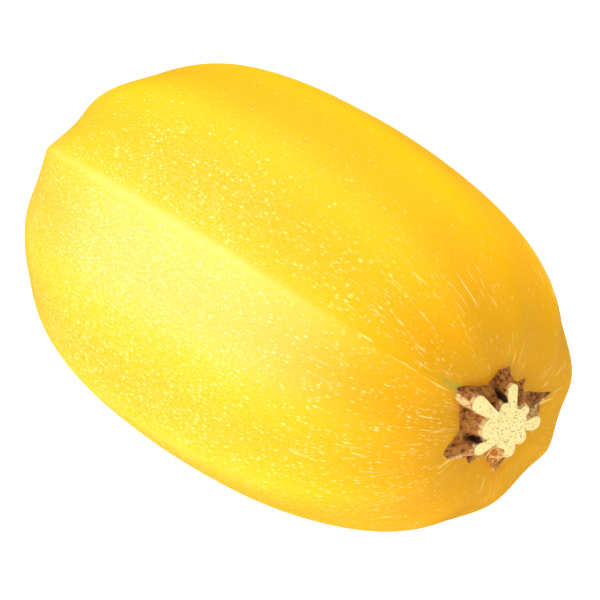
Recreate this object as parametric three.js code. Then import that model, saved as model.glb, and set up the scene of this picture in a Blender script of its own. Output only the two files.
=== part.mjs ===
// A spaghetti squash: an oblong, softly ribbed fruit lying on its belly, with the cut stub of
// its stalk still seated in one end. Millimetres; +X runs along the fruit towards the stalk,
// +Z is up, and the flattened belly rests at z = 0.
import * as THREE from 'three';

// ---- Fruit: driving sizes ---------------------------------------------------------------
const GIRTH_RADIUS = 68;       // crest of a rib from the fruit's axis, at the widest place
const BLOSSOM_REACH = 109;     // widest place to the blossom end
const STALK_REACH = 113;       // widest place to the stalk end, if its dish were filled in
const BELLY_FLAT = 1.3;        // how deep the resting belly is flattened

// Roundness of each end: 2 and 2 is an ellipse, and larger values give fuller shoulders.
const BLOSSOM_CURVE = { along: 2.54, around: 2.12 };
const STALK_CURVE = { along: 1.9, around: 2.99 };

// Ribs, as degrees around the axis from straight up towards -Y. The five major ribs run into
// the five prongs of the stalk, and a softer minor rib lies between each pair.
const MAJOR_RIBS = [-92, -21, 47, 115, 190];
const MINOR_RIBS = [-56, 13, 81, 153, 229];
const VALLEY_DEPTH = 1.5;      // valley below the rib crests, at the widest place
const END_VALLEY_DEPTH = 2.6;  // the same at the shoulders, where the ribs draw together
const SHOULDER_RADIUS = 40;    // the valleys run out between here and the ends
const CREST_SOFTNESS = 0.22;   // 0 would be a knife-edged crest

// ---- Dish in the stalk end --------------------------------------------------------------
const SEAT_X = 107.2;          // flat floor of the dish, from the widest place
const SEAT_RADIUS = 25;
const DISH_RADIUS = 31;        // where the dish's rim meets the fruit's own curve

// ---- Stalk stub -------------------------------------------------------------------------
const FIT_GAP = 0.3;           // clearance between the stub and its seat
const STUB_HEIGHT = 7;
const CORE_RADIUS = 7.5;       // round middle of the cut face
const FOOT_CORE_RADIUS = 14;   // the same where the stub spreads onto its seat
const FOOT_WIDENING = 1.5;     // how much wider a prong is at its foot
// Each prong: its direction, how far it reaches on the cut face and at the foot, half width.
// The five long ones run out along the major ribs.
const PRONGS = [
  { angle: -100, face: 15, foot: 24, halfWidth: 2.4 },
  { angle: -57, face: 10.7, foot: 17.5, halfWidth: 2.1 },
  { angle: -16, face: 16, foot: 21, halfWidth: 1.8 },
  { angle: 13, face: 10, foot: 15, halfWidth: 1.9 },
  { angle: 41, face: 18, foot: 23, halfWidth: 2.6 },
  { angle: 68, face: 11.8, foot: 16, halfWidth: 3.4 },
  { angle: 113, face: 14.5, foot: 22.5, halfWidth: 2.4 },
  { angle: 143, face: 8.8, foot: 17, halfWidth: 2.4 },
  { angle: 187, face: 12.2, foot: 21, halfWidth: 2.6 },
  { angle: 226, face: 10.9, foot: 15, halfWidth: 2.2 },
];

// ---- Mesh resolution --------------------------------------------------------------------
const FRUIT_COLUMNS = 80;
const BODY_ROWS = 34;
const DISH_ROWS = 5;
const STUB_COLUMNS = 90;
const STUB_ROWS = 6;

const FULL_TURN = 2 * Math.PI;

// Height of the fruit's axis above the surface that it rests on.
const AXIS_HEIGHT = GIRTH_RADIUS - VALLEY_DEPTH - BELLY_FLAT;

// A point at a distance along the axis, an angle around it and a radius from it.
function aroundAxis(x, angle, radius) {
  return new THREE.Vector3(x, -radius * Math.sin(angle), AXIS_HEIGHT + radius * Math.cos(angle));
}

// A closed solid through rings of points, with both ends closed by a fan about a centre.
// The rings run from low x to high x, and each turns from +Z towards -Y.
function loftSolid(rings, firstCentre, lastCentre) {
  const columns = rings[0].length;
  const points = [...rings.flat(), firstCentre, lastCentre];
  const firstIndex = points.length - 2;
  const lastIndex = points.length - 1;
  const lastRing = (rings.length - 1) * columns;
  const faces = [];
  for (let column = 0; column < columns; column += 1) {
    const next = (column + 1) % columns;
    faces.push(firstIndex, next, column);
    faces.push(lastIndex, lastRing + column, lastRing + next);
    for (let row = 0; row < rings.length - 1; row += 1) {
      const low = row * columns;
      const high = low + columns;
      faces.push(low + column, high + next, high + column);
      faces.push(low + column, low + next, high + next);
    }
  }
  const geometry = new THREE.BufferGeometry().setFromPoints(points);
  geometry.setIndex(faces);
  geometry.computeVertexNormals();
  return geometry;
}

// Columns of a ring, as angles in radians.
function columnAngles(count) {
  return Array.from({ length: count }, (_, column) => (column / count) * FULL_TURN);
}

// ---- Fruit --------------------------------------------------------------------------------

// All rib directions in turning order, in radians from 0 to a full turn, closed on itself.
const RIB_ANGLES = [...MAJOR_RIBS, ...MINOR_RIBS]
  .map((degrees) => THREE.MathUtils.degToRad((degrees + 360) % 360))
  .sort((a, b) => a - b);
RIB_ANGLES.unshift(RIB_ANGLES[RIB_ANGLES.length - 1] - FULL_TURN);
RIB_ANGLES.push(RIB_ANGLES[1] + FULL_TURN);

// How far down the valley an angle lies: 0 on a rib's crest, 1 midway between two ribs.
function valleyAt(angle) {
  const upper = RIB_ANGLES.findIndex((rib) => rib > angle);
  const start = RIB_ANGLES[upper - 1];
  const between = (angle - start) / (RIB_ANGLES[upper] - start);
  const softened = Math.hypot(Math.sin(Math.PI * between), CREST_SOFTNESS) - CREST_SOFTNESS;
  return softened / (Math.hypot(1, CREST_SOFTNESS) - CREST_SOFTNESS);
}

// The fruit's outline at a sweep from 0, the blossom end, to pi, the middle of the stalk end.
function outlineAt(sweep) {
  const towardsStalk = sweep > Math.PI / 2;
  const curve = towardsStalk ? STALK_CURVE : BLOSSOM_CURVE;
  const reach = towardsStalk ? STALK_REACH : BLOSSOM_REACH;
  const along = reach * Math.abs(Math.cos(sweep)) ** (2 / curve.along);
  return {
    x: towardsStalk ? along : -along,
    radius: GIRTH_RADIUS * Math.sin(sweep) ** (2 / curve.around),
  };
}

// Where the fruit's own curve reaches a radius on the stalk side.
function stalkSideX(radius) {
  const share = 1 - (radius / GIRTH_RADIUS) ** STALK_CURVE.around;
  return STALK_REACH * share ** (1 / STALK_CURVE.along);
}

// One ring of skin: ribs swell it, and the belly is pressed flat where it would sink below 0.
function skinRing(x, radius) {
  const nearEnd = 1 - THREE.MathUtils.smoothstep(radius, SHOULDER_RADIUS, GIRTH_RADIUS);
  const depth = THREE.MathUtils.lerp(VALLEY_DEPTH, END_VALLEY_DEPTH, nearEnd);
  const fade = THREE.MathUtils.smoothstep(radius, SEAT_RADIUS, SHOULDER_RADIUS);
  return columnAngles(FRUIT_COLUMNS).map((angle) => {
    const point = aroundAxis(x, angle, radius - depth * fade * valleyAt(angle));
    point.z = Math.max(point.z, 0);
    return point;
  });
}

function makeFruit() {
  const rings = [];
  const dishSweep = Math.PI - Math.asin((DISH_RADIUS / GIRTH_RADIUS) ** (STALK_CURVE.around / 2));
  for (let row = 1; row <= BODY_ROWS; row += 1) {
    const outline = outlineAt((row / BODY_ROWS) * dishSweep);
    rings.push(skinRing(outline.x, outline.radius));
  }
  // The dish: its rim rolls over and comes down to a flat floor under the stub.
  const rimX = stalkSideX(DISH_RADIUS);
  for (let row = 1; row <= DISH_ROWS; row += 1) {
    const inward = row / DISH_ROWS;
    const radius = THREE.MathUtils.lerp(DISH_RADIUS, SEAT_RADIUS, inward);
    const crown = (stalkSideX(radius) - rimX) * (1 - inward);
    const x = THREE.MathUtils.lerp(rimX, SEAT_X, THREE.MathUtils.smoothstep(inward, 0, 1)) + crown;
    rings.push(skinRing(x, radius));
  }
  const blossomTip = aroundAxis(-BLOSSOM_REACH, 0, 0);
  const seatCentre = aroundAxis(SEAT_X, 0, 0);
  const material = new THREE.MeshStandardMaterial({ color: 0xf6cf1c, roughness: 0.45, metalness: 0 });
  const fruit = new THREE.Mesh(loftSolid(rings, blossomTip, seatCentre), material);
  fruit.name = 'fruit';
  return fruit;
}

// ---- Stalk stub -----------------------------------------------------------------------------

// How far a bar with a round tip, laid outwards from the middle, reaches at an angle off its line.
function barReach(offAxis, tip, halfWidth) {
  const sideways = (tip - halfWidth) * Math.sin(offAxis);
  if (offAxis < Math.PI / 2 && sideways < halfWidth) {
    return (tip - halfWidth) * Math.cos(offAxis) + Math.sqrt(halfWidth ** 2 - sideways ** 2);
  }
  return halfWidth;
}

// The stub's star outline at an angle: a round core and its prongs, all wider towards the foot.
// height runs from 0 at the foot to 1 at the cut face.
function starReach(angle, height) {
  const spread = (1 - height) ** 2;
  let reach = THREE.MathUtils.lerp(CORE_RADIUS, FOOT_CORE_RADIUS, spread);
  for (const prong of PRONGS) {
    const turn = angle - THREE.MathUtils.degToRad(prong.angle);
    const offAxis = Math.abs(Math.atan2(Math.sin(turn), Math.cos(turn)));
    const tip = THREE.MathUtils.lerp(prong.face, prong.foot, spread);
    const halfWidth = prong.halfWidth * THREE.MathUtils.lerp(1, FOOT_WIDENING, spread);
    reach = Math.max(reach, barReach(offAxis, tip, halfWidth));
  }
  return reach;
}

function makeStub() {
  const footX = SEAT_X + FIT_GAP;
  const faceX = footX + STUB_HEIGHT;
  const rings = [];
  for (let row = 0; row <= STUB_ROWS; row += 1) {
    const height = row / STUB_ROWS;
    const x = THREE.MathUtils.lerp(footX, faceX, height);
    rings.push(columnAngles(STUB_COLUMNS).map((angle) => aroundAxis(x, angle, starReach(angle, height))));
  }
  const material = new THREE.MeshStandardMaterial({ color: 0xb58a45, roughness: 0.85, metalness: 0 });
  const solid = loftSolid(rings, aroundAxis(footX, 0, 0), aroundAxis(faceX, 0, 0));
  const stub = new THREE.Mesh(solid, material);
  stub.name = 'stem';
  return stub;
}

// ---- Whole squash, centred over the origin ----------------------------------------------
const squash = new THREE.Group();
squash.add(makeFruit(), makeStub());
const centre = new THREE.Box3().setFromObject(squash).getCenter(new THREE.Vector3());
squash.position.set(-centre.x, -centre.y, 0);

export default squash;
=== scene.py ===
# %% [markdown]
# # A spaghetti squash
# This lesson builds one whole winter squash: an oblong golden fruit with soft lengthwise ribs,
# lying on its belly, and the dry, star-shaped stub where its stalk was cut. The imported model
# gives the frame, which is a fruit and a stem at full size. Here both get their final
# skins. Everything is in metres, +X runs towards the stalk and +Z is up.

# %% Load the frame
import math
from functools import lru_cache

import bmesh
import bpy
import numpy as np
from mathutils import Matrix, Vector, noise


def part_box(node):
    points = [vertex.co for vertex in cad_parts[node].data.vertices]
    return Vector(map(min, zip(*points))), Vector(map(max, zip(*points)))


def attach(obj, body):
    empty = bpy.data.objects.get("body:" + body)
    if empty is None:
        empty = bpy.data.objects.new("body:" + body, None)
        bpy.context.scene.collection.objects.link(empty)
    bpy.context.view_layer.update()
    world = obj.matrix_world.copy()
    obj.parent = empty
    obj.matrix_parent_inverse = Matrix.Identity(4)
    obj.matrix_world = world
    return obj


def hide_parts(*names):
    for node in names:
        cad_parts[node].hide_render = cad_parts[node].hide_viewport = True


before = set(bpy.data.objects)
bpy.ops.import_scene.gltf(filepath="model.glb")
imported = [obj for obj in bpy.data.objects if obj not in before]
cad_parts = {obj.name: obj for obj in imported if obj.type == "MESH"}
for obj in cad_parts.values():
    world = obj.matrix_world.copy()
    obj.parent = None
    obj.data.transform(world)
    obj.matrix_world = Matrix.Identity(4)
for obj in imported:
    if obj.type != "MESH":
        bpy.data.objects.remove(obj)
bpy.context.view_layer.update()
FRUIT_LOW, FRUIT_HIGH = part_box("fruit")
STEM_LOW, STEM_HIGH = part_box("stem")
MM = 0.001
print("fruit", FRUIT_LOW, FRUIT_HIGH)
print("stem", STEM_LOW, STEM_HIGH)

# %% [markdown]
# ## The fruit's own coordinates
# A squash grows around one line, from the stalk to the old flower. So every point of it is
# easiest to give as a distance along that line, a radius from it and an angle around it. The
# angle is 0 straight up and grows towards -Y. The line's place comes from the frame's box and
# from how deep the belly is pressed. The roundness of each end is a superellipse: 2 and 2 would
# be a plain ellipse, and larger numbers give the fuller shoulders of a squash.

# %% The axis and the outline
GIRTH_RADIUS = 68 * MM
BLOSSOM_REACH = 109 * MM
STALK_REACH = 113 * MM
BLOSSOM_CURVE = (2.54, 2.12)
STALK_CURVE = (1.9, 2.99)
WIDEST_X = FRUIT_LOW.x + BLOSSOM_REACH
AXIS_Y = FRUIT_HIGH.y - GIRTH_RADIUS
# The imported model's axis stands this high: its girth less one of its valleys and the belly's flat.
PACKED_VALLEY = 1.5 * MM
BELLY_FLAT = 1.3 * MM
AXIS_Z = GIRTH_RADIUS - PACKED_VALLEY - BELLY_FLAT


def around_axis(x, radius, angle):
    """The point at a distance x past the widest place, a radius and an angle."""
    return Vector((WIDEST_X + x, AXIS_Y - radius * math.sin(angle), AXIS_Z + radius * math.cos(angle)))


def axis_radius_angle(point):
    """The reverse of around_axis."""
    across, up = AXIS_Y - point.y, point.z - AXIS_Z
    return point.x - WIDEST_X, math.hypot(across, up), math.atan2(across, up)


def smooth_step(low, high, value):
    """0 at the low end, 1 at the high end, eased at both."""
    share = np.clip((value - low) / (high - low), 0, 1)
    return share * share * (3 - 2 * share)


def stalk_side_x(radius):
    """Where the fruit's plain curve reaches a radius on the stalk side, with no dish."""
    along, around = STALK_CURVE
    share = 1 - (min(radius, GIRTH_RADIUS) / GIRTH_RADIUS) ** around
    return STALK_REACH * share ** (1 / along)


print("widest place at x", round(WIDEST_X, 4), "axis height", round(AXIS_Z, 4))

# %% [markdown]
# ## The ribs
# Five major ribs run from the stalk's five prongs to the flower end, and a softer minor rib
# lies in each gap between them. Each rib has its own crest: a sharp one reads as a line of
# light, partly by its own shape and partly by a painted highlight in the rind, and a soft one
# as a gentle swelling. One list holds them, with the depth of the valley that follows each rib,
# so no two sides of the fruit are quite alike.

# %% The list of ribs
# Each rib: angle in degrees, crest softness, crest drop and the depth of the next valley in mm.
# The last rib is the first one again, a full turn later.
RIBS = [
    (-92, 0.35, 0.0, 1.5),
    (-56, 0.55, 0.2, 1.2),
    (-21, 0.35, 0.0, 1.4),
    (13, 0.55, 0.3, 1.9),
    (47, 0.10, 0.0, 1.5),
    (81, 0.90, 0.9, 1.2),
    (115, 0.40, 0.1, 1.5),
    (153, 0.50, 0.8, 2.0),
    (190, 0.35, 1.1, 2.0),
    (229, 0.50, 0.3, 1.5),
    (268, 0.35, 0.0, 1.5),
]
RIB_ANGLES = np.radians([rib[0] for rib in RIBS])
SHOULDER_RADIUS = 40 * MM
DISH_RADIUS = 36 * MM
END_DEEPENING = 1.2
CREST_WIDTH = 0.16


@lru_cache(maxsize=None)
def rib_drop(angle):
    """At an angle: how far the skin lies below the major crests, in metres, and how deep in a
    valley and how near a sharp crest it is, from 0 to 1."""
    turn = (angle - RIB_ANGLES[0]) % (2 * math.pi) + RIB_ANGLES[0]
    here = int(np.searchsorted(RIB_ANGLES, turn, side="right")) - 1
    here = min(max(here, 0), len(RIBS) - 2)
    between = (turn - RIB_ANGLES[here]) / (RIB_ANGLES[here + 1] - RIB_ANGLES[here])
    blend = smooth_step(0, 1, between)
    softness = RIBS[here][1] * (1 - blend) + RIBS[here + 1][1] * blend
    crest = RIBS[here][2] * (1 - blend) + RIBS[here + 1][2] * blend
    swing = math.hypot(math.sin(math.pi * between), softness) - softness
    valley = swing / (math.hypot(1, softness) - softness)
    sharp = max(0.0, 1 - valley / CREST_WIDTH) * max(0.0, 1 - 1.5 * softness)
    return (crest + (RIBS[here][3] - crest) * valley) * MM, valley, sharp


print("drop in the first valley:", round(rib_drop(math.radians(-74))[0] * 1000, 2), "mm")

# %% [markdown]
# ## The dish under the stalk
# Around the stalk the skin sinks into a shallow dish, because the fruit swells around the
# stalk as it grows. Both the fruit and the stub's foot follow this one surface, so they meet
# without a gap.

# %% The dish's surface
DISH_DEPTH = 5.8 * MM
DISH_FLOOR_RADIUS = 6 * MM
STALK_FADE_RADIUS = 12 * MM
FLOWER_FADE_RADIUS = 4 * MM


def dish_x(radius):
    """Where the skin lies along the axis, at a radius inside the dish, before the ribs."""
    depth = DISH_DEPTH * (1 - smooth_step(DISH_FLOOR_RADIUS, DISH_RADIUS, radius))
    return stalk_side_x(radius) - depth


def skin_drop(radius, angle, fade_radius):
    """How far the ribs' valleys lower the skin: most at the shoulders, nothing at the ends."""
    toward_end = 1 - smooth_step(SHOULDER_RADIUS, GIRTH_RADIUS, radius)
    fade = smooth_step(fade_radius, SHOULDER_RADIUS, radius)
    return rib_drop(angle)[0] * fade * (1 + (END_DEEPENING - 1) * toward_end)


def seat_x(radius, angle):
    """Where the finished skin lies along the axis, near the stalk."""
    return dish_x(radius) - skin_drop(radius, angle, STALK_FADE_RADIUS)


print("dish floor", round(dish_x(0) * 1000, 1), "mm past the widest place")

# %% [markdown]
# ## The edge of the stalk's foot
# The stalk spreads onto the fruit in a ragged brown star. Its long points follow the five
# prongs of the stalk, and short ones lie between. The skin is tinted around this edge and the
# stub ends at it, so one outline serves both: an angle in degrees and a reach in millimetres.

# %% The foot's outline
FOOT_EDGE = [
    (-101, 18.5), (-90, 19.0), (-85, 24.0), (-80, 20.0), (-72, 16.6), (-62, 13.4),
    (-52, 14.1), (-47, 16.8), (-37, 14.4), (-22, 14.9), (-14, 19.8), (-8, 18.8),
    (0, 19.3), (9, 17.4), (18, 16.2), (29, 19.0), (37, 23.0), (42, 26.0),
    (49, 24.8), (54, 20.6), (62, 18.8), (72, 17.2), (81, 16.6), (87, 18.8),
    (93, 21.8), (99, 23.6), (106, 22.2), (114, 18.8), (122, 16.0), (136, 17.0),
    (141, 13.8), (157, 12.6), (169, 15.6), (178, 19.6), (186, 17.4), (197, 16.0),
    (210, 12.5), (240, 12.5), (250, 14.5), (259, 18.5),
]
FOOT_ANGLES = np.radians([place[0] for place in FOOT_EDGE])
FOOT_REACHES = np.array([place[1] for place in FOOT_EDGE]) * MM


def one_turn(angle):
    """The same angle, brought into the turn that the foot's list covers."""
    return (angle - FOOT_ANGLES[0]) % (2 * math.pi) + FOOT_ANGLES[0]


@lru_cache(maxsize=None)
def foot_reach(angle):
    """How far the brown foot reaches on the skin, at an angle."""
    return float(np.interp(one_turn(angle), FOOT_ANGLES, FOOT_REACHES))


print("foot reaches", round(foot_reach(math.radians(42)) * 1000, 1), "mm at its longest point")

# %% [markdown]
# ## Spinning the fruit
# A lathe shape fits a squash well: the outline is drawn once, as a chain of points from the
# flower end to the middle of the dish, and spun round the axis. Then every point moves a
# little, by the ribs, by slow unevenness as in any grown thing, and by the pressed belly.

# %% Spin an outline round the axis
SPIN_SECTORS = 12


def spin_outline(name, outline, columns):
    """A closed lathe shape from (x, radius) pairs that start and end on the axis.

    One sector is spun and then copied round, which is far quicker than one long spin."""
    shape = bmesh.new()
    chain = [shape.verts.new(around_axis(x, radius, 0)) for x, radius in outline]
    edges = [shape.edges.new(pair) for pair in zip(chain, chain[1:])]
    middle = around_axis(0, 0, 0)
    sector = 2 * math.pi / SPIN_SECTORS
    bmesh.ops.spin(
        shape,
        geom=chain + edges,
        cent=middle,
        axis=(1, 0, 0),
        angle=sector,
        steps=columns // SPIN_SECTORS,
    )
    first = shape.verts[:] + shape.edges[:] + shape.faces[:]
    for place in range(1, SPIN_SECTORS):
        copied = bmesh.ops.duplicate(shape, geom=first)["geom"]
        moved = [part for part in copied if isinstance(part, bmesh.types.BMVert)]
        bmesh.ops.rotate(shape, cent=middle, matrix=Matrix.Rotation(sector * place, 3, "X"), verts=moved)
    bmesh.ops.remove_doubles(shape, verts=shape.verts[:], dist=1e-6)
    bmesh.ops.recalc_face_normals(shape, faces=shape.faces[:])
    print(name, len(shape.verts), "points", len(shape.faces), "faces")
    return shape


def finish_mesh(name, shape, vectors, numbers):
    """Turns a bmesh into an object, with what its material reads stored on the points."""
    shape.verts.ensure_lookup_table()
    mesh = bpy.data.meshes.new(name)
    shape.to_mesh(mesh)
    shape.free()
    mesh.polygons.foreach_set("use_smooth", [True] * len(mesh.polygons))
    for title, values in vectors.items():
        layer = mesh.attributes.new(title, "FLOAT_VECTOR", "POINT")
        layer.data.foreach_set("vector", np.asarray(values, np.float32).ravel())
    for title, values in numbers.items():
        layer = mesh.attributes.new(title, "FLOAT", "POINT")
        layer.data.foreach_set("value", np.asarray(values, np.float32).ravel())
    piece = bpy.data.objects.new(name, mesh)
    bpy.context.scene.collection.objects.link(piece)
    return piece


# %% The fruit's outline
BODY_ROWS = 130
DISH_ROWS = 60
FRUIT_COLUMNS = 480


def fruit_outline():
    """Points from the flower end over the widest place, the shoulder and the dish's rim to its middle."""
    points = [(-BLOSSOM_REACH, 0.0)]
    last_sweep = math.pi - math.asin((DISH_RADIUS / GIRTH_RADIUS) ** (STALK_CURVE[1] / 2))
    for row in range(1, BODY_ROWS + 1):
        sweep = last_sweep * row / BODY_ROWS
        along, around = STALK_CURVE if sweep > math.pi / 2 else BLOSSOM_CURVE
        reach = STALK_REACH if sweep > math.pi / 2 else -BLOSSOM_REACH
        x = reach * abs(math.cos(sweep)) ** (2 / along)
        points.append((x, GIRTH_RADIUS * math.sin(sweep) ** (2 / around)))
    for row in range(1, DISH_ROWS + 1):
        radius = DISH_RADIUS * (1 - row / DISH_ROWS)
        points.append((dish_x(radius), radius))
    return points


FRUIT_OUTLINE = fruit_outline()
fruit_shape = spin_outline("fruit", FRUIT_OUTLINE, FRUIT_COLUMNS)

# %% [markdown]
# ## Shaping the skin
# Each spun point is read back as a distance, a radius and an angle, and put back a little
# lower where it lies in a valley. The rind also needs to know, later, how far along the skin
# each point is, so that its flecks stretch from end to end and draw together at both ends as
# the real ones do. That is stored on the points as a rolled-out position.

# %% Move every point of the fruit
OUTLINE_POINTS = np.array(FRUIT_OUTLINE)
OUTLINE_STEPS = np.gradient(OUTLINE_POINTS, axis=0)
OUTLINE_STEPS /= np.linalg.norm(OUTLINE_STEPS, axis=1)[:, None]
SKIN_LENGTHS = np.concatenate(
    [[0], np.cumsum(np.linalg.norm(np.diff(OUTLINE_POINTS, axis=0), axis=1))]
)
# The skin's unevenness fades in outside the dish, up to this radius.
UNEVEN_RADIUS = 45 * MM
# A point this far away, in metres, is out of reach of the marks around an end.
FAR = 1.0


def outline_row(x, radius):
    """Which row of the outline a spun point came from, as a whole number."""
    return int(np.argmin(np.hypot(OUTLINE_POINTS[:, 0] - x, OUTLINE_POINTS[:, 1] - radius)))


def slow_wobble(point, size, seed):
    """Gentle unevenness, from -1 to 1, over a length."""
    return noise.noise(point / size + Vector((seed, 0, 0)))


def shape_fruit(shape):
    """Gives the spun fruit its ribs, unevenness and flat belly, and returns what its rind reads."""
    rolled, valleys, crests, past_foot, from_stalk, from_flower = [], [], [], [], [], []
    for vert in shape.verts:
        x, radius, angle = axis_radius_angle(vert.co)
        row = outline_row(x, radius)
        fade_radius = STALK_FADE_RADIUS if x > 0 else FLOWER_FADE_RADIUS
        lower = skin_drop(radius, angle, fade_radius)
        wobble = 0.3 * slow_wobble(vert.co, 45 * MM, 3) + 0.1 * slow_wobble(vert.co, 17 * MM, 9)
        lower -= wobble * MM * smooth_step(DISH_RADIUS, UNEVEN_RADIUS, radius)
        ahead, outward = OUTLINE_STEPS[row]
        vert.co = around_axis(x + outward * lower, radius - ahead * lower, angle)
        vert.co.z = max(vert.co.z, 0.0)
        rolled.append((SKIN_LENGTHS[row], GIRTH_RADIUS * math.sin(angle), GIRTH_RADIUS * math.cos(angle)))
        valleys.append(rib_drop(angle)[1])
        crests.append(rib_drop(angle)[2])
        past_foot.append(radius - foot_reach(angle) if x > 0 else FAR)
        from_stalk.append(radius if x > 0 else FAR)
        from_flower.append(radius if x < 0 else FAR)
    numbers = {
        "valley": valleys,
        "sharp_crest": crests,
        "past_foot": past_foot,
        "from_stalk": from_stalk,
        "from_flower": from_flower,
    }
    return {"rolled_out": rolled}, numbers


fruit_vectors, fruit_numbers = shape_fruit(fruit_shape)
fruit = finish_mesh("squash_fruit", fruit_shape, fruit_vectors, fruit_numbers)
print("fruit is", [round(side, 4) for side in fruit.dimensions], "m")

# %% [markdown]
# ## The stalk's star
# A squash stalk is five-sided, and where it was cut its section is a star of lobes: long ones
# that run down into prongs along the major ribs, and short ones between. Some lobes end in a
# round knob on a narrower neck. Laid out from the middle, a union of such lobes and a round
# core gives the outline of the cut face.

# %% The star's outline
# Each lobe: angle in degrees, then in mm its reach, the radius of its knob, the half width of
# its neck and how far its end lies below the cut.
LOBES = [
    (-101, 13.6, 2.5, 1.3, 0.2),
    (-55, 9.5, 2.1, 2.0, 0.0),
    (-4, 16.2, 2.1, 2.0, 0.4),
    (19, 11.1, 2.1, 2.0, 0.0),
    (43, 21.8, 2.8, 1.8, 1.3),
    (69, 13.0, 3.8, 3.8, 0.2),
    (104, 15.2, 2.2, 1.9, 0.8),
    (179, 10.7, 2.3, 2.3, 0.0),
    (222, 9.4, 2.3, 2.3, 0.0),
]
CORE_RADIUS = 7.2 * MM
STUB_COLUMNS = 720
CORNER_SHARPNESS = 16
LOBE_SPREAD = 0.35


def angle_between(first, second):
    """How far apart two directions are, whichever way round is shorter."""
    turn = first - second
    return abs(math.atan2(math.sin(turn), math.cos(turn)))


def lobe_reach(off_axis, tip, knob, neck):
    """How far a lobe reaches at an angle off its line: its knob if that is hit, else its neck."""
    if off_axis >= math.pi / 2:
        return 0.0
    middle = tip - knob
    aside = middle * math.sin(off_axis)
    if aside < knob:
        return middle * math.cos(off_axis) + math.sqrt(knob**2 - aside**2)
    return min(neck / math.sin(off_axis), middle)


@lru_cache(maxsize=None)
def face_reach(angle):
    """The outline of the cut face: the core and the lobes, blended softly where they meet."""
    reaches = [CORE_RADIUS]
    for degrees, tip, knob, neck, _ in LOBES:
        off_axis = angle_between(angle, math.radians(degrees))
        reaches.append(lobe_reach(off_axis, tip * MM, knob * MM, neck * MM))
    biggest = max(reaches)
    total = sum((reach / biggest) ** CORNER_SHARPNESS for reach in reaches)
    return biggest * total ** (1 / CORNER_SHARPNESS)


print("face reaches", round(face_reach(math.radians(43)) * 1000, 1), "mm along its longest lobe")

# %% [markdown]
# ## Carving the stub
# The stub is spun as a blank too. Its outline runs from the foot's edge up the flank and in
# over the cut face, and each spun point then moves to its place. A flank climbs evenly where a
# lobe runs down into a prong. In the bays between, it stays low and rises late, so the lobes'
# sides stand steep over rough floors, and two of the bays have a deep hollow.

# %% Where the flanks and the cut face lie
FLANK_ROWS, EDGE_ROWS, FACE_ROWS = 46, 6, 16
SKIN_CLEARANCE = 0.12 * MM
EDGE_SINK = 0.3 * MM
FACE_X = STEM_HIGH.x - WIDEST_X
EDGE_ROUNDING = 0.5 * MM
# Each hollow: angle in degrees, then in mm its distance from the middle, its radius and its depth.
HOLLOWS = [(9, 11.4, 1.7, 1.6), (93, 12.4, 1.9, 2.0)]


def face_height(radius, angle):
    """Where the cut face lies along the axis: flat in the middle, lower out on the long lobes."""
    drop = 0.0
    for degrees, tip, _, _, below in LOBES:
        if angle_between(angle, math.radians(degrees)) < LOBE_SPREAD:
            out = smooth_step(0.55 * tip * MM, tip * MM, radius)
            drop = max(drop, below * MM * out)
    return FACE_X - drop


def hollow_at(radius, angle):
    """0 to 1 inside the hollows, and how deep they go there."""
    share, depth = 0.0, 0.0
    for degrees, distance, size, deep in HOLLOWS:
        turn = angle - math.radians(degrees)
        apart = math.hypot(radius * math.cos(turn) - distance * MM, radius * math.sin(turn))
        here = math.exp(-((apart / (size * MM)) ** 2))
        share = max(share, here)
        depth = max(depth, here * deep * MM)
    return share, depth


def flank_point(share, angle):
    """A point of the flank, as x and radius, from the foot's edge at 0 to the cut at 1."""
    foot, face = foot_reach(angle), face_reach(angle)
    radius = foot + (face - foot) * share
    openness = 1 - smooth_step(0.55, 0.85, face / foot)
    climb = share ** (1.15 + 1.3 * openness)
    floor = seat_x(radius, angle) + SKIN_CLEARANCE - EDGE_SINK * (1 - smooth_step(0, 0.06, share))
    top = face_height(face, angle) - EDGE_ROUNDING
    lift = (top - floor) * climb
    return floor + max(0.0, lift - hollow_at(radius, angle)[1] * (1 - share**6)), radius


def stub_point(row, angle):
    """Where a blank's point goes, and what it is: flank 0, the cut's edge 1 to 1.5, face 2."""
    face = face_reach(angle)
    if row <= FLANK_ROWS:
        x, radius = flank_point(row / FLANK_ROWS, angle)
        return x, radius, 0.0
    if row <= FLANK_ROWS + EDGE_ROWS:
        turn = (row - FLANK_ROWS) / EDGE_ROWS * math.pi / 2
        radius = face - EDGE_ROUNDING * (1 - math.cos(turn))
        x = face_height(face, angle) - EDGE_ROUNDING * (1 - math.sin(turn))
        return x, radius, 1.0 + 0.5 * math.sin(turn)
    share = (row - FLANK_ROWS - EDGE_ROWS) / FACE_ROWS
    radius = (face - EDGE_ROUNDING) * (1 - share)
    return face_height(radius, angle), radius, 2.0


# %% Spin and carve the stub
BLANK_X, BLANK_RADIUS, BLANK_STEP, BLANK_RISE = 90 * MM, 30 * MM, 0.3 * MM, 0.1 * MM
ROUGHNESS = 0.3 * MM
FIBRE_SPREAD = 12 * MM
# Where a flank is pale cork instead of brown, as angle and half width in degrees.
PALE_RIDGES = [(49.0, 4.5), (112.0, 7.0), (-90.0, 4.0)]
ORANGE_FAN = (158.0, 30.0)


def stub_outline():
    """The blank: its rows only need to be in order, as the carving moves them all."""
    rows = FLANK_ROWS + EDGE_ROWS + FACE_ROWS
    points = [(dish_x(0) - 0.2 * MM, 0.0)]
    points += [(BLANK_X + row * BLANK_RISE, BLANK_RADIUS - row * BLANK_STEP) for row in range(rows)]
    points += [(BLANK_X + rows * BLANK_RISE, 0.0)]
    return points


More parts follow.
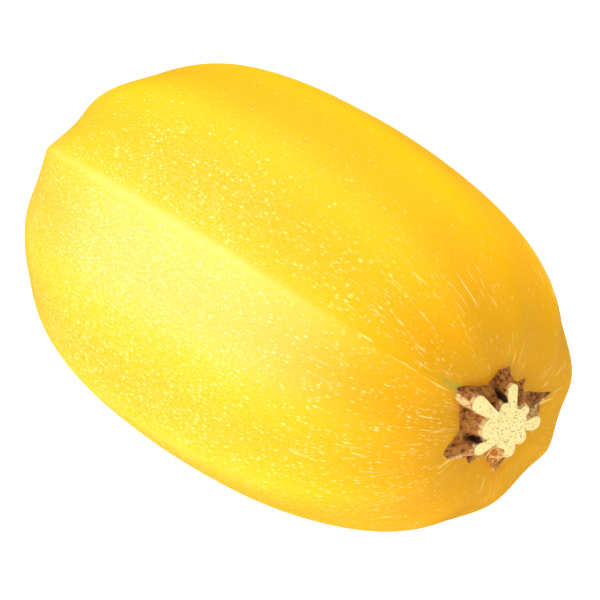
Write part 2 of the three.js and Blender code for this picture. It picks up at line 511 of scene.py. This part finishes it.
def even_angles(columns):
    """Angles that put the columns evenly along the cut's outline, crowded on its steep sides."""
    fine = np.linspace(-math.pi, math.pi, 10 * columns + 1)
    reach = np.array([0.35 * foot_reach(a) + 0.65 * face_reach(a) for a in fine])
    steps = np.hypot(np.diff(reach), reach[1:] * np.diff(fine))
    travelled = np.concatenate([[0], np.cumsum(steps)])
    return np.interp(np.linspace(0, travelled[-1], columns + 1), travelled, fine)


def near_direction(angle, degrees, half_width):
    """1 in a direction, easing to 0 at a half width in degrees to either side."""
    apart = math.degrees(angle_between(angle, math.radians(degrees)))
    return 1 - float(smooth_step(0.4 * half_width, half_width, apart))


def carve_stub(shape):
    """Moves the blank's points to the star, and returns what its material reads."""
    angles = even_angles(STUB_COLUMNS)
    titles = ("part_of_stub", "up_the_flank", "inside_edge", "hollow", "pale_ridge", "orange_fan")
    numbers = {title: [] for title in titles}
    places = []
    for vert in shape.verts:
        x, radius, angle = axis_radius_angle(vert.co)
        on_axis = radius < 1e-5
        row = round((BLANK_RADIUS - radius) / BLANK_STEP)
        if on_axis:
            row = 0 if x > dish_x(0) - 1 * MM else FLANK_ROWS + EDGE_ROWS + FACE_ROWS
        column = round((angle + math.pi) / (2 * math.pi) * STUB_COLUMNS) % STUB_COLUMNS
        turned = float(angles[column])
        x_new, reach, kind = stub_point(row, turned)
        if on_axis:
            x_new, reach = (x, 0.0) if row == 0 else (FACE_X, 0.0)
        share = min(1.0, row / FLANK_ROWS)
        rough = 0.0 if kind > 1.2 or on_axis else ROUGHNESS * smooth_step(0, 0.15, share)
        spot = around_axis(x_new, reach, turned)
        bumps = [slow_wobble(spot, 1.5 * MM, seed) for seed in (5, 15, 25)]
        vert.co = spot + Vector(bumps) * rough
        values = (
            kind,
            share,
            min(1.0, (face_reach(turned) - reach) / (2 * MM)) if kind > 1 else 0.0,
            hollow_at(reach, turned)[0] if kind < 1 else 0.0,
            max(near_direction(turned, *ridge) for ridge in PALE_RIDGES),
            near_direction(turned, *ORANGE_FAN),
        )
        for title, value in zip(titles, values):
            numbers[title].append(value)
        places.append((reach, turned * FIBRE_SPREAD, x_new))
    return {"along_the_fibres": places}, numbers


stub_shape = spin_outline("stub", stub_outline(), STUB_COLUMNS)
stub_vectors, stub_numbers = carve_stub(stub_shape)
bmesh.ops.recalc_face_normals(stub_shape, faces=stub_shape.faces[:])
stub = finish_mesh("squash_stem", stub_shape, stub_vectors, stub_numbers)
print("stub is", [round(side, 4) for side in stub.dimensions], "m")

# %% [markdown]
# ## Shader maths in plain Python
# A finish is a graph of nodes. Written out node by node it is hard to read, so one small class
# wraps a socket: adding or multiplying two of them adds the Math node, and `node` adds any
# other kind. Colours and vectors have Mix and Vector Math of their own.

# %% A socket that does maths
class Value:
    """An output socket of a node tree, so that shader maths reads as plain Python."""

    def __init__(self, tree, socket):
        self.tree = tree
        self.socket = socket

    def node(self, kind, settings=None, output=0, **inputs):
        """Adds a node: its settings first, then the values or links of its sockets by name."""
        made = self.tree.nodes.new(kind)
        for title, setting in (settings or {}).items():
            setattr(made, title, setting)
        for title, given in inputs.items():
            wanted = title.replace("_", " ").lower()
            if wanted.startswith("in") and wanted[2:].isdigit():
                socket = made.inputs[int(wanted[2:])]
            else:
                socket = next(s for s in made.inputs if s.name.lower() == wanted and s.enabled)
            self.feed(socket, given)
        return Value(self.tree, made.outputs[output])

    def feed(self, socket, given):
        """Links a value to a socket, or sets a constant on it."""
        if isinstance(given, Value):
            self.tree.links.new(given.socket, socket)
        elif isinstance(given, tuple) and socket.type == "RGBA" and len(given) == 3:
            socket.default_value = (*given, 1.0)
        else:
            socket.default_value = given

    def maths(self, operation, *others):
        """A Math node on this value and the others."""
        return self.node("ShaderNodeMath", {"operation": operation}, **{
            f"in{place}": other for place, other in enumerate((self, *others))
        })

    def __add__(self, other):
        return self.maths("ADD", other)

    def __radd__(self, other):
        return self.maths("ADD", other)

    def __sub__(self, other):
        return self.maths("SUBTRACT", other)

    def __rsub__(self, other):
        return self.node("ShaderNodeMath", {"operation": "SUBTRACT"}, in0=other, in1=self)

    def __mul__(self, other):
        return self.maths("MULTIPLY", other)

    def __rmul__(self, other):
        return self.maths("MULTIPLY", other)

    def __truediv__(self, other):
        return self.maths("DIVIDE", other)

    def __pow__(self, other):
        return self.maths("POWER", other)

    def clamped(self):
        """Held between 0 and 1."""
        return self.node("ShaderNodeClamp", Value=self)

    def between(self, low, high, start=0.0, end=1.0):
        """0 to 1 as this goes from low to high, eased at both ends."""
        return self.node(
            "ShaderNodeMapRange",
            {"interpolation_type": "SMOOTHSTEP"},
            Value=self, From_Min=low, From_Max=high, To_Min=start, To_Max=end,
        )

    def mixed(self, first, second):
        """A colour: first where this is 0, second where it is 1."""
        settings = {"data_type": "RGBA", "clamp_factor": True}
        return self.node("ShaderNodeMix", settings, output=2, in0=self, in6=first, in7=second)

    def vector(self, operation, other):
        """Vector Math between this vector and another."""
        return self.node("ShaderNodeVectorMath", {"operation": operation}, in0=self, in1=other)

    def along(self, direction):
        """How far this vector goes in a direction."""
        settings = {"operation": "DOT_PRODUCT"}
        return self.node("ShaderNodeVectorMath", settings, output=1, in0=self, in1=direction)

    def noise(self, scale, detail=2.0, roughness=0.5):
        """Cloudy noise, 0 to 1, where this vector is the place."""
        return self.node(
            "ShaderNodeTexNoise", Vector=self, Scale=scale, Detail=detail, Roughness=roughness
        )


# %% A new material and its first values
def new_finish(name):
    """A material with one Principled shader, and a Value to start its maths from."""
    material = bpy.data.materials.new(name)
    material.use_nodes = True
    tree = material.node_tree
    shader = tree.nodes["Principled BSDF"]
    start = Value(tree, tree.nodes.new("ShaderNodeTexCoord").outputs["Object"])
    return material, shader, start


def stored(start, title, output):
    """What the mesh stores on its points under a title: output 1 is a vector, 2 a number."""
    return start.node("ShaderNodeAttribute", {"attribute_name": title}, output=output)


def linear(red, green, blue):
    """A colour as seen on screen, 0 to 255, as the linear light that a shader takes."""
    shares = [channel / 255 for channel in (red, green, blue)]
    return tuple(s / 12.92 if s <= 0.04045 else ((s + 0.055) / 1.055) ** 2.4 for s in shares)


print("golden yellow in linear light:", [round(c, 3) for c in linear(252, 208, 10)])

# %% [markdown]
# ## The rind
# The rind is a thin waxy skin over pale flesh. Its colour is a deep golden yellow. Towards the
# stalk it turns amber, partly in its own streaks and partly as painted shade, and in the valleys
# the amber is painted shade. It is peppered with cream flecks, short dashes that run lengthwise,
# dense and fine on one flank and sparse elsewhere. Each layer of flecks is a Voronoi pattern on
# the rolled-out skin, squeezed along the length, with some cells left empty. A fine noise adds
# the grain between them, and a long stretched noise gives the streaks that run outwards from
# the stalk. A pale painted highlight runs along the sharp crests.

# %% The layers of flecks
CREAM = linear(255, 244, 165)
STALK_SIDE = 45 * MM
# The flank where the flecks are densest, as an angle around the axis.
FLECKED_FLANK = math.radians(92)


def flecks(skin, across, lengthwise, size, share, seed):
    """Cream dashes: cells this far apart across the fruit and lengthwise, some left empty."""
    cells = skin.vector("MULTIPLY", (1 / lengthwise, 1 / across, 1 / across))
    cells = cells.vector("ADD", (seed, 0.0, 0.0))
    distance = cells.node("ShaderNodeTexVoronoi", Vector=cells, Scale=1.0, Randomness=1.0)
    picked = cells.node("ShaderNodeTexVoronoi", output=1, Vector=cells, Scale=1.0, Randomness=1.0)
    chance = picked.node("ShaderNodeSeparateColor", Color=picked)
    reach = size * (0.5 + 0.5 * chance / share)
    mask = (1 - (distance / reach)).between(0.0, 0.6)
    return mask * chance.between(share, share - 0.02)


# %% Tapering marks that run out from the stalk
# Each mark: angle in degrees, then in mm where it starts, where it ends and its half width there.
GREEN_TIPS = [
    (43.5, 24, 36, 2.2),
    (-13, 18, 25, 0.9),
    (-48, 15, 20, 0.6),
    (-86, 21, 30, 0.7),
    (101, 21, 28, 1.0),
]
PALE_EDGES = [(-91, 17, 25, 0.8), (108, 18, 28, 0.6)]


def marks(start, places):
    """1 on wedges that lie along a direction from the axis and taper to nothing outwards."""
    middle = start.vector("SUBTRACT", tuple(around_axis(0, 0, 0)))
    drawn = None
    for degrees, near_end, far_end, half_width in places:
        angle = math.radians(degrees)
        out = middle.along((0.0, -math.sin(angle), math.cos(angle)))
        aside = middle.along((0.0, -math.cos(angle), -math.sin(angle))).maths("ABSOLUTE")
        left = ((far_end * MM - out) / ((far_end - near_end) * MM)).clamped()
        wedge = (left**1.4 * half_width * MM - aside) / (0.7 * MM) + 0.5
        wedge = wedge.clamped() * left.between(0.0, 0.4) * out.between(0.0, 2 * MM)
        drawn = wedge if drawn is None else drawn.maths("MAXIMUM", wedge)
    return drawn


# %% The rind's finish
def rind_finish():
    material, shader, start = new_finish("waxy_golden_rind")
    skin = stored(start, "rolled_out", 1)
    valley = stored(start, "valley", 2)
    crest = stored(start, "sharp_crest", 2)
    past_foot = stored(start, "past_foot", 2)
    from_stalk = stored(start, "from_stalk", 2)
    from_flower = stored(start, "from_flower", 2)
    lengthwise = start.along((1.0, 0.0, 0.0))
    up = start.along((0.0, 0.0, 1.0))

    # Golden yellow, in soft lengthwise streaks. Towards the stalk it deepens to amber, partly as
    # its streaks and partly as painted shade, and in the valleys painted shade makes it amber.
    streaks = skin.vector("MULTIPLY", (0.12, 1.0, 1.0)).noise(150.0, 3.0, 0.55)
    patches = skin.noise(26.0, 2.0)
    near = from_stalk.between(64 * MM, 26 * MM)
    # Painted shade: the valleys are mixed towards darker amber.
    depth = (patches * 0.4 + valley * 0.45 + near * (streaks - 0.1) * 1.1).clamped()
    base = depth.mixed((0.95, 0.520, 0.002), (0.87, 0.400, 0.001))
    # Painted shade: the skin near the stalk is darkened towards amber.
    base = (near * 0.9).mixed(base, (0.66, 0.310, 0.002))

    # The fleck layers: dense on one flank, towards the flower end, and few on sharp crests. On
    # that flank the sharp crests get a pale painted highlight.
    grain = skin.vector("MULTIPLY", (0.5, 1.0, 1.0)).noise(1300.0, 2.0, 0.6).between(0.46, 0.62)
    fine = flecks(skin, 0.75 * MM, 1.5 * MM, 0.52, 0.85, 1.7)
    mid = flecks(skin, 1.3 * MM, 2.8 * MM, 0.46, 0.62, 5.1)
    bright = flecks(skin, 2.4 * MM, 5.4 * MM, 0.23, 0.60, 2.9)
    long = skin.vector("MULTIPLY", (0.12, 1.0, 1.0)).noise(820.0, 2.0, 0.5).between(0.62, 0.72)
    flank = start.vector("SUBTRACT", tuple(around_axis(0, 0, 0)))
    flank = flank.along((0.0, -math.sin(FLECKED_FLANK), math.cos(FLECKED_FLANK)))
    flowerward = lengthwise.between(95 * MM, 0.0)
    patchy = skin.noise(30.0, 2.0).between(0.3, 0.7)
    density = flank.between(8 * MM, 50 * MM) * flowerward * (patchy * 0.4 + 0.6)
    grain = grain * (density * 0.14 + 0.02)
    fine = fine * (density * 0.32 + 0.04)
    side = flank.between(-10 * MM, 46 * MM)
    mid = mid * (density * 0.30 + patchy * 0.10 + side * 0.25 + 0.02)
    bright = bright * (side * 0.45 + 0.3)
    long = long * from_stalk.between(64 * MM, 48 * MM) * patchy.between(0.2, 0.8) * 0.55
    fleck_and_highlight = fine.maths("MAXIMUM", mid).maths("MAXIMUM", grain) * (1 - crest * 0.85)
    fleck_and_highlight = fleck_and_highlight.maths("MAXIMUM", bright).maths("MAXIMUM", long)
    # Painted highlight: a pale cream line along the sharp crests of the densely flecked flank.
    fleck_and_highlight = fleck_and_highlight.maths("MAXIMUM", crest * density * 0.3)
    colour = fleck_and_highlight.mixed(base, CREAM)

    # Around the stalk: an orange blush at the foot's edge, olive tips and cream edges.
    mottle = start.noise(480.0, 3.0, 0.6)
    blotches = (mottle + start.noise(110.0, 1.0)).between(0.85, 1.25)
    blush = past_foot.between(4.5 * MM, -0.5 * MM) * blotches
    colour = (blush * 0.7).mixed(colour, (0.66, 0.20, 0.006))
    stalk_side = from_stalk.between(STALK_SIDE, 0.8 * STALK_SIDE)
    green = marks(start, GREEN_TIPS) * stalk_side
    colour = (green * 0.75).mixed(colour, (0.46, 0.35, 0.035))
    pale = marks(start, PALE_EDGES) * stalk_side
    colour = (pale * 0.7).mixed(colour, linear(248, 222, 130))

    # The belly it grew on stayed paler, and the old flower left a small corky ring.
    belly = up.between(20 * MM, 1 * MM) * skin.noise(60.0, 3.0).between(0.25, 0.6)
    colour = (belly * 0.8).mixed(colour, (0.90, 0.62, 0.14))
    scar = from_flower.between(5.5 * MM, 4.0 * MM)
    ring = from_flower.between(2.2 * MM, 3.4 * MM)
    corky = (mottle * 0.5 + ring * 0.6).clamped()
    colour = scar.mixed(colour, corky.mixed(linear(104, 66, 30), linear(206, 168, 104)))

    shader.inputs["Specular IOR Level"].default_value = 0.08
    start.feed(shader.inputs["Roughness"], scar.between(0.0, 1.0, 0.46, 0.85))
    start.feed(shader.inputs["Base Color"], colour)
    pores = skin.noise(900.0, 2.0)
    height = pores * 0.4 + fleck_and_highlight * 0.5 + skin.noise(160.0, 2.0) * 0.5 + streaks * near * 0.8
    height = height + scar * (mottle + ring) * 3.0
    bump = start.node("ShaderNodeBump", Strength=0.25, Distance=0.0003, Height=height)
    start.feed(shader.inputs["Normal"], bump)
    return material


fruit.data.materials.append(rind_finish())
print("rind has", len(fruit.data.materials[0].node_tree.nodes), "nodes")

# %% [markdown]
# ## The dry stalk
# A cut stalk dries to cork. Its flanks are brown and fibrous, with near-black painted shade
# deep in the two hollows between the prongs, its ridges are pale straw, and the cut face is
# cream with small green and brown pores where the vessels ran.

# %% The stalk's finish
def stalk_finish():
    material, shader, start = new_finish("dry_corky_stalk")
    kind = stored(start, "part_of_stub", 2)
    up_flank = stored(start, "up_the_flank", 2)
    edge = stored(start, "inside_edge", 2)
    hollow = stored(start, "hollow", 2)
    ridge = stored(start, "pale_ridge", 2)
    fan = stored(start, "orange_fan", 2)
    fibre_place = stored(start, "along_the_fibres", 1)
    face = kind.between(1.15, 1.45)

    # Brown granular cork, with lighter fibres that run down to the skin.
    grains = start.noise(700.0, 3.0, 0.65)
    fibres = fibre_place.vector("MULTIPLY", (0.2, 1.0, 0.2)).noise(1500.0, 2.0, 0.6)
    patches = start.noise(220.0, 2.0)
    brown = grains.between(0.34, 0.62).mixed(linear(88, 44, 14), linear(170, 106, 42))
    brown = patches.between(0.5, 0.7).mixed(brown, linear(168, 112, 50))
    brown = (fibres.between(0.52, 0.72) * 0.5).mixed(brown, linear(206, 158, 92))
    orange = fibres.between(0.45, 0.62).mixed(linear(184, 104, 28), linear(226, 186, 116))
    flank = fan.mixed(brown, orange)
    straw = grains.between(0.36, 0.6).mixed(linear(176, 120, 58), linear(232, 200, 134))
    pale = (ridge * 0.9).maths("MAXIMUM", up_flank.between(0.86, 1.0) * 0.85)
    flank = pale.mixed(flank, straw)
    # Painted shade: the two hollows are painted near black, where shade falls in them.
    flank = (hollow.between(0.25, 0.8) * 0.92).mixed(flank, linear(38, 14, 6))

    # The cut face: cream, greener in patches, with pores and a paler rim.
    cells = start.node("ShaderNodeTexVoronoi", Vector=start, Scale=1000.0, Randomness=1.0)
    picked = start.node("ShaderNodeTexVoronoi", output=1, Vector=start, Scale=1000.0, Randomness=1.0)
    chance = picked.node("ShaderNodeSeparateColor", Color=picked)
    pores = cells.between(0.40, 0.16) * chance.between(0.3, 0.85)
    pith = start.noise(330.0, 3.0).between(0.4, 0.7)
    pith = pith.mixed(linear(247, 224, 156), linear(237, 215, 140))
    cut = (pores * 0.6).mixed(pith, linear(128, 110, 36))
    cut = (edge.between(0.45, 0.0) * 0.7).mixed(cut, linear(246, 220, 160))
    colour = face.mixed(flank, cut)

    shader.inputs["Roughness"].default_value = 0.85
    shader.inputs["Specular IOR Level"].default_value = 0.2
    start.feed(shader.inputs["Base Color"], colour)
    height = (grains + fibres) * (1 - face) - pores * 0.5
    bump = start.node("ShaderNodeBump", Strength=0.8, Distance=0.0006, Height=height)
    start.feed(shader.inputs["Normal"], bump)
    return material


stub.data.materials.append(stalk_finish())
print("stalk has", len(stub.data.materials[0].node_tree.nodes), "nodes")

# %% [markdown]
# ## Joining the pieces to the frame
# Each piece rides on the root body, and the solid of the imported model that it stands for is
# hidden.

# %% Ride and replace
for piece, node, slot in ((fruit, "fruit", "rind"), (stub, "stem", "dry_stalk")):
    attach(piece, "root")
    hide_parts(node)

# %% [markdown]
# ## Floor, light and camera
# The squash lies on a plain white floor, bright enough to light its underside. Four large soft
# lights do the rest: a low one in front, one high over the flower end, one nearly overhead
# from behind and a weak low one beside the stalk. Their glossy rays are switched off, so they
# give colour and hardly any glare. One more soft light gives only the broad pale sheen on the
# flank. That split isn't how real lights behave: it lets the colour and the sheen be set apart,
# and it suits this view best. From the stalk end the sheen is too strong. The camera looks down
# at the stalk end from far away with a long lens, which keeps the shape nearly free of
# perspective.

# %% The floor
def make_floor():
    shape = bmesh.new()
    bmesh.ops.create_grid(shape, x_segments=1, y_segments=1, size=6.0)
    floor = finish_mesh("floor", shape, {}, {})
    material, shader, _ = new_finish("white_paper")
    shader.inputs["Base Color"].default_value = (0.5, 0.5, 0.5, 1)
    shader.inputs["Roughness"].default_value = 0.9
    shader.inputs["Specular IOR Level"].default_value = 0.0
    shader.inputs["Emission Color"].default_value = (1, 1, 1, 1)
    shader.inputs["Emission Strength"].default_value = 0.9
    floor.data.materials.append(material)
    floor.visible_glossy = False


make_floor()

# %% The camera
CAMERA_AZIMUTH, CAMERA_ELEVATION = math.radians(50.4), math.radians(29.8)
CAMERA_DISTANCE = 1.5
VIEW_WIDTH = 203 * MM
# How far the middle of the view is from the widest place, to the right and up in the view.
VIEW_SHIFT = (5.3 * MM, -2.4 * MM, 0)


def toward(azimuth, elevation):
    """The direction from the squash to something at an azimuth and elevation, as radians."""
    flat = math.cos(elevation)
    return Vector((flat * math.sin(azimuth), -flat * math.cos(azimuth), math.sin(elevation)))


def make_camera():
    data = bpy.data.cameras.new("camera")
    camera = bpy.data.objects.new("camera", data)
    bpy.context.scene.collection.objects.link(camera)
    back = toward(CAMERA_AZIMUTH, CAMERA_ELEVATION)
    turn = (-back).to_track_quat("-Z", "Y")
    aim = Vector((WIDEST_X, AXIS_Y, AXIS_Z)) + turn @ Vector(VIEW_SHIFT)
    camera.location = aim + back * CAMERA_DISTANCE
    camera.rotation_euler = turn.to_euler()
    data.sensor_width = 36
    data.lens = data.sensor_width * CAMERA_DISTANCE / VIEW_WIDTH
    bpy.context.scene.camera = camera
    return camera


camera = make_camera()
print("lens", round(camera.data.lens), "mm")

# %% The lights
LIGHT_DISTANCE = 1.4


def soft_light(name, azimuth, elevation, size, power, sheen=False):
    """A square soft light that faces the squash, and gives either colour or sheen."""
    data = bpy.data.lights.new(name, "AREA")
    data.shape = "SQUARE"
    data.size = size
    data.energy = power
    light = bpy.data.objects.new(name, data)
    bpy.context.scene.collection.objects.link(light)
    back = toward(math.radians(azimuth), math.radians(elevation))
    light.location = Vector((0, 0, AXIS_Z)) + back * LIGHT_DISTANCE
    light.rotation_euler = (-back).to_track_quat("-Z", "Y").to_euler()
    light.visible_diffuse = not sheen
    light.visible_glossy = sheen


soft_light("low_in_front", 4, 8, 1.3, 29)
soft_light("high_over_the_flower_end", -110, 54, 1.3, 17.5)
soft_light("overhead_from_behind", 150, 78, 1.3, 13.5)
soft_light("low_beside_the_stalk", 125, 20, 1.3, 8.5)
soft_light("sheen_on_the_flank", -30, 18, 1.3, 165, sheen=True)
world = bpy.data.worlds.new("room")
world.use_nodes = True
background = world.node_tree.nodes["Background"]
background.inputs["Color"].default_value = (1, 1, 1, 1)
background.inputs["Strength"].default_value = 0.02
bpy.context.scene.world = world
bpy.context.scene.view_settings.view_transform = "Standard"
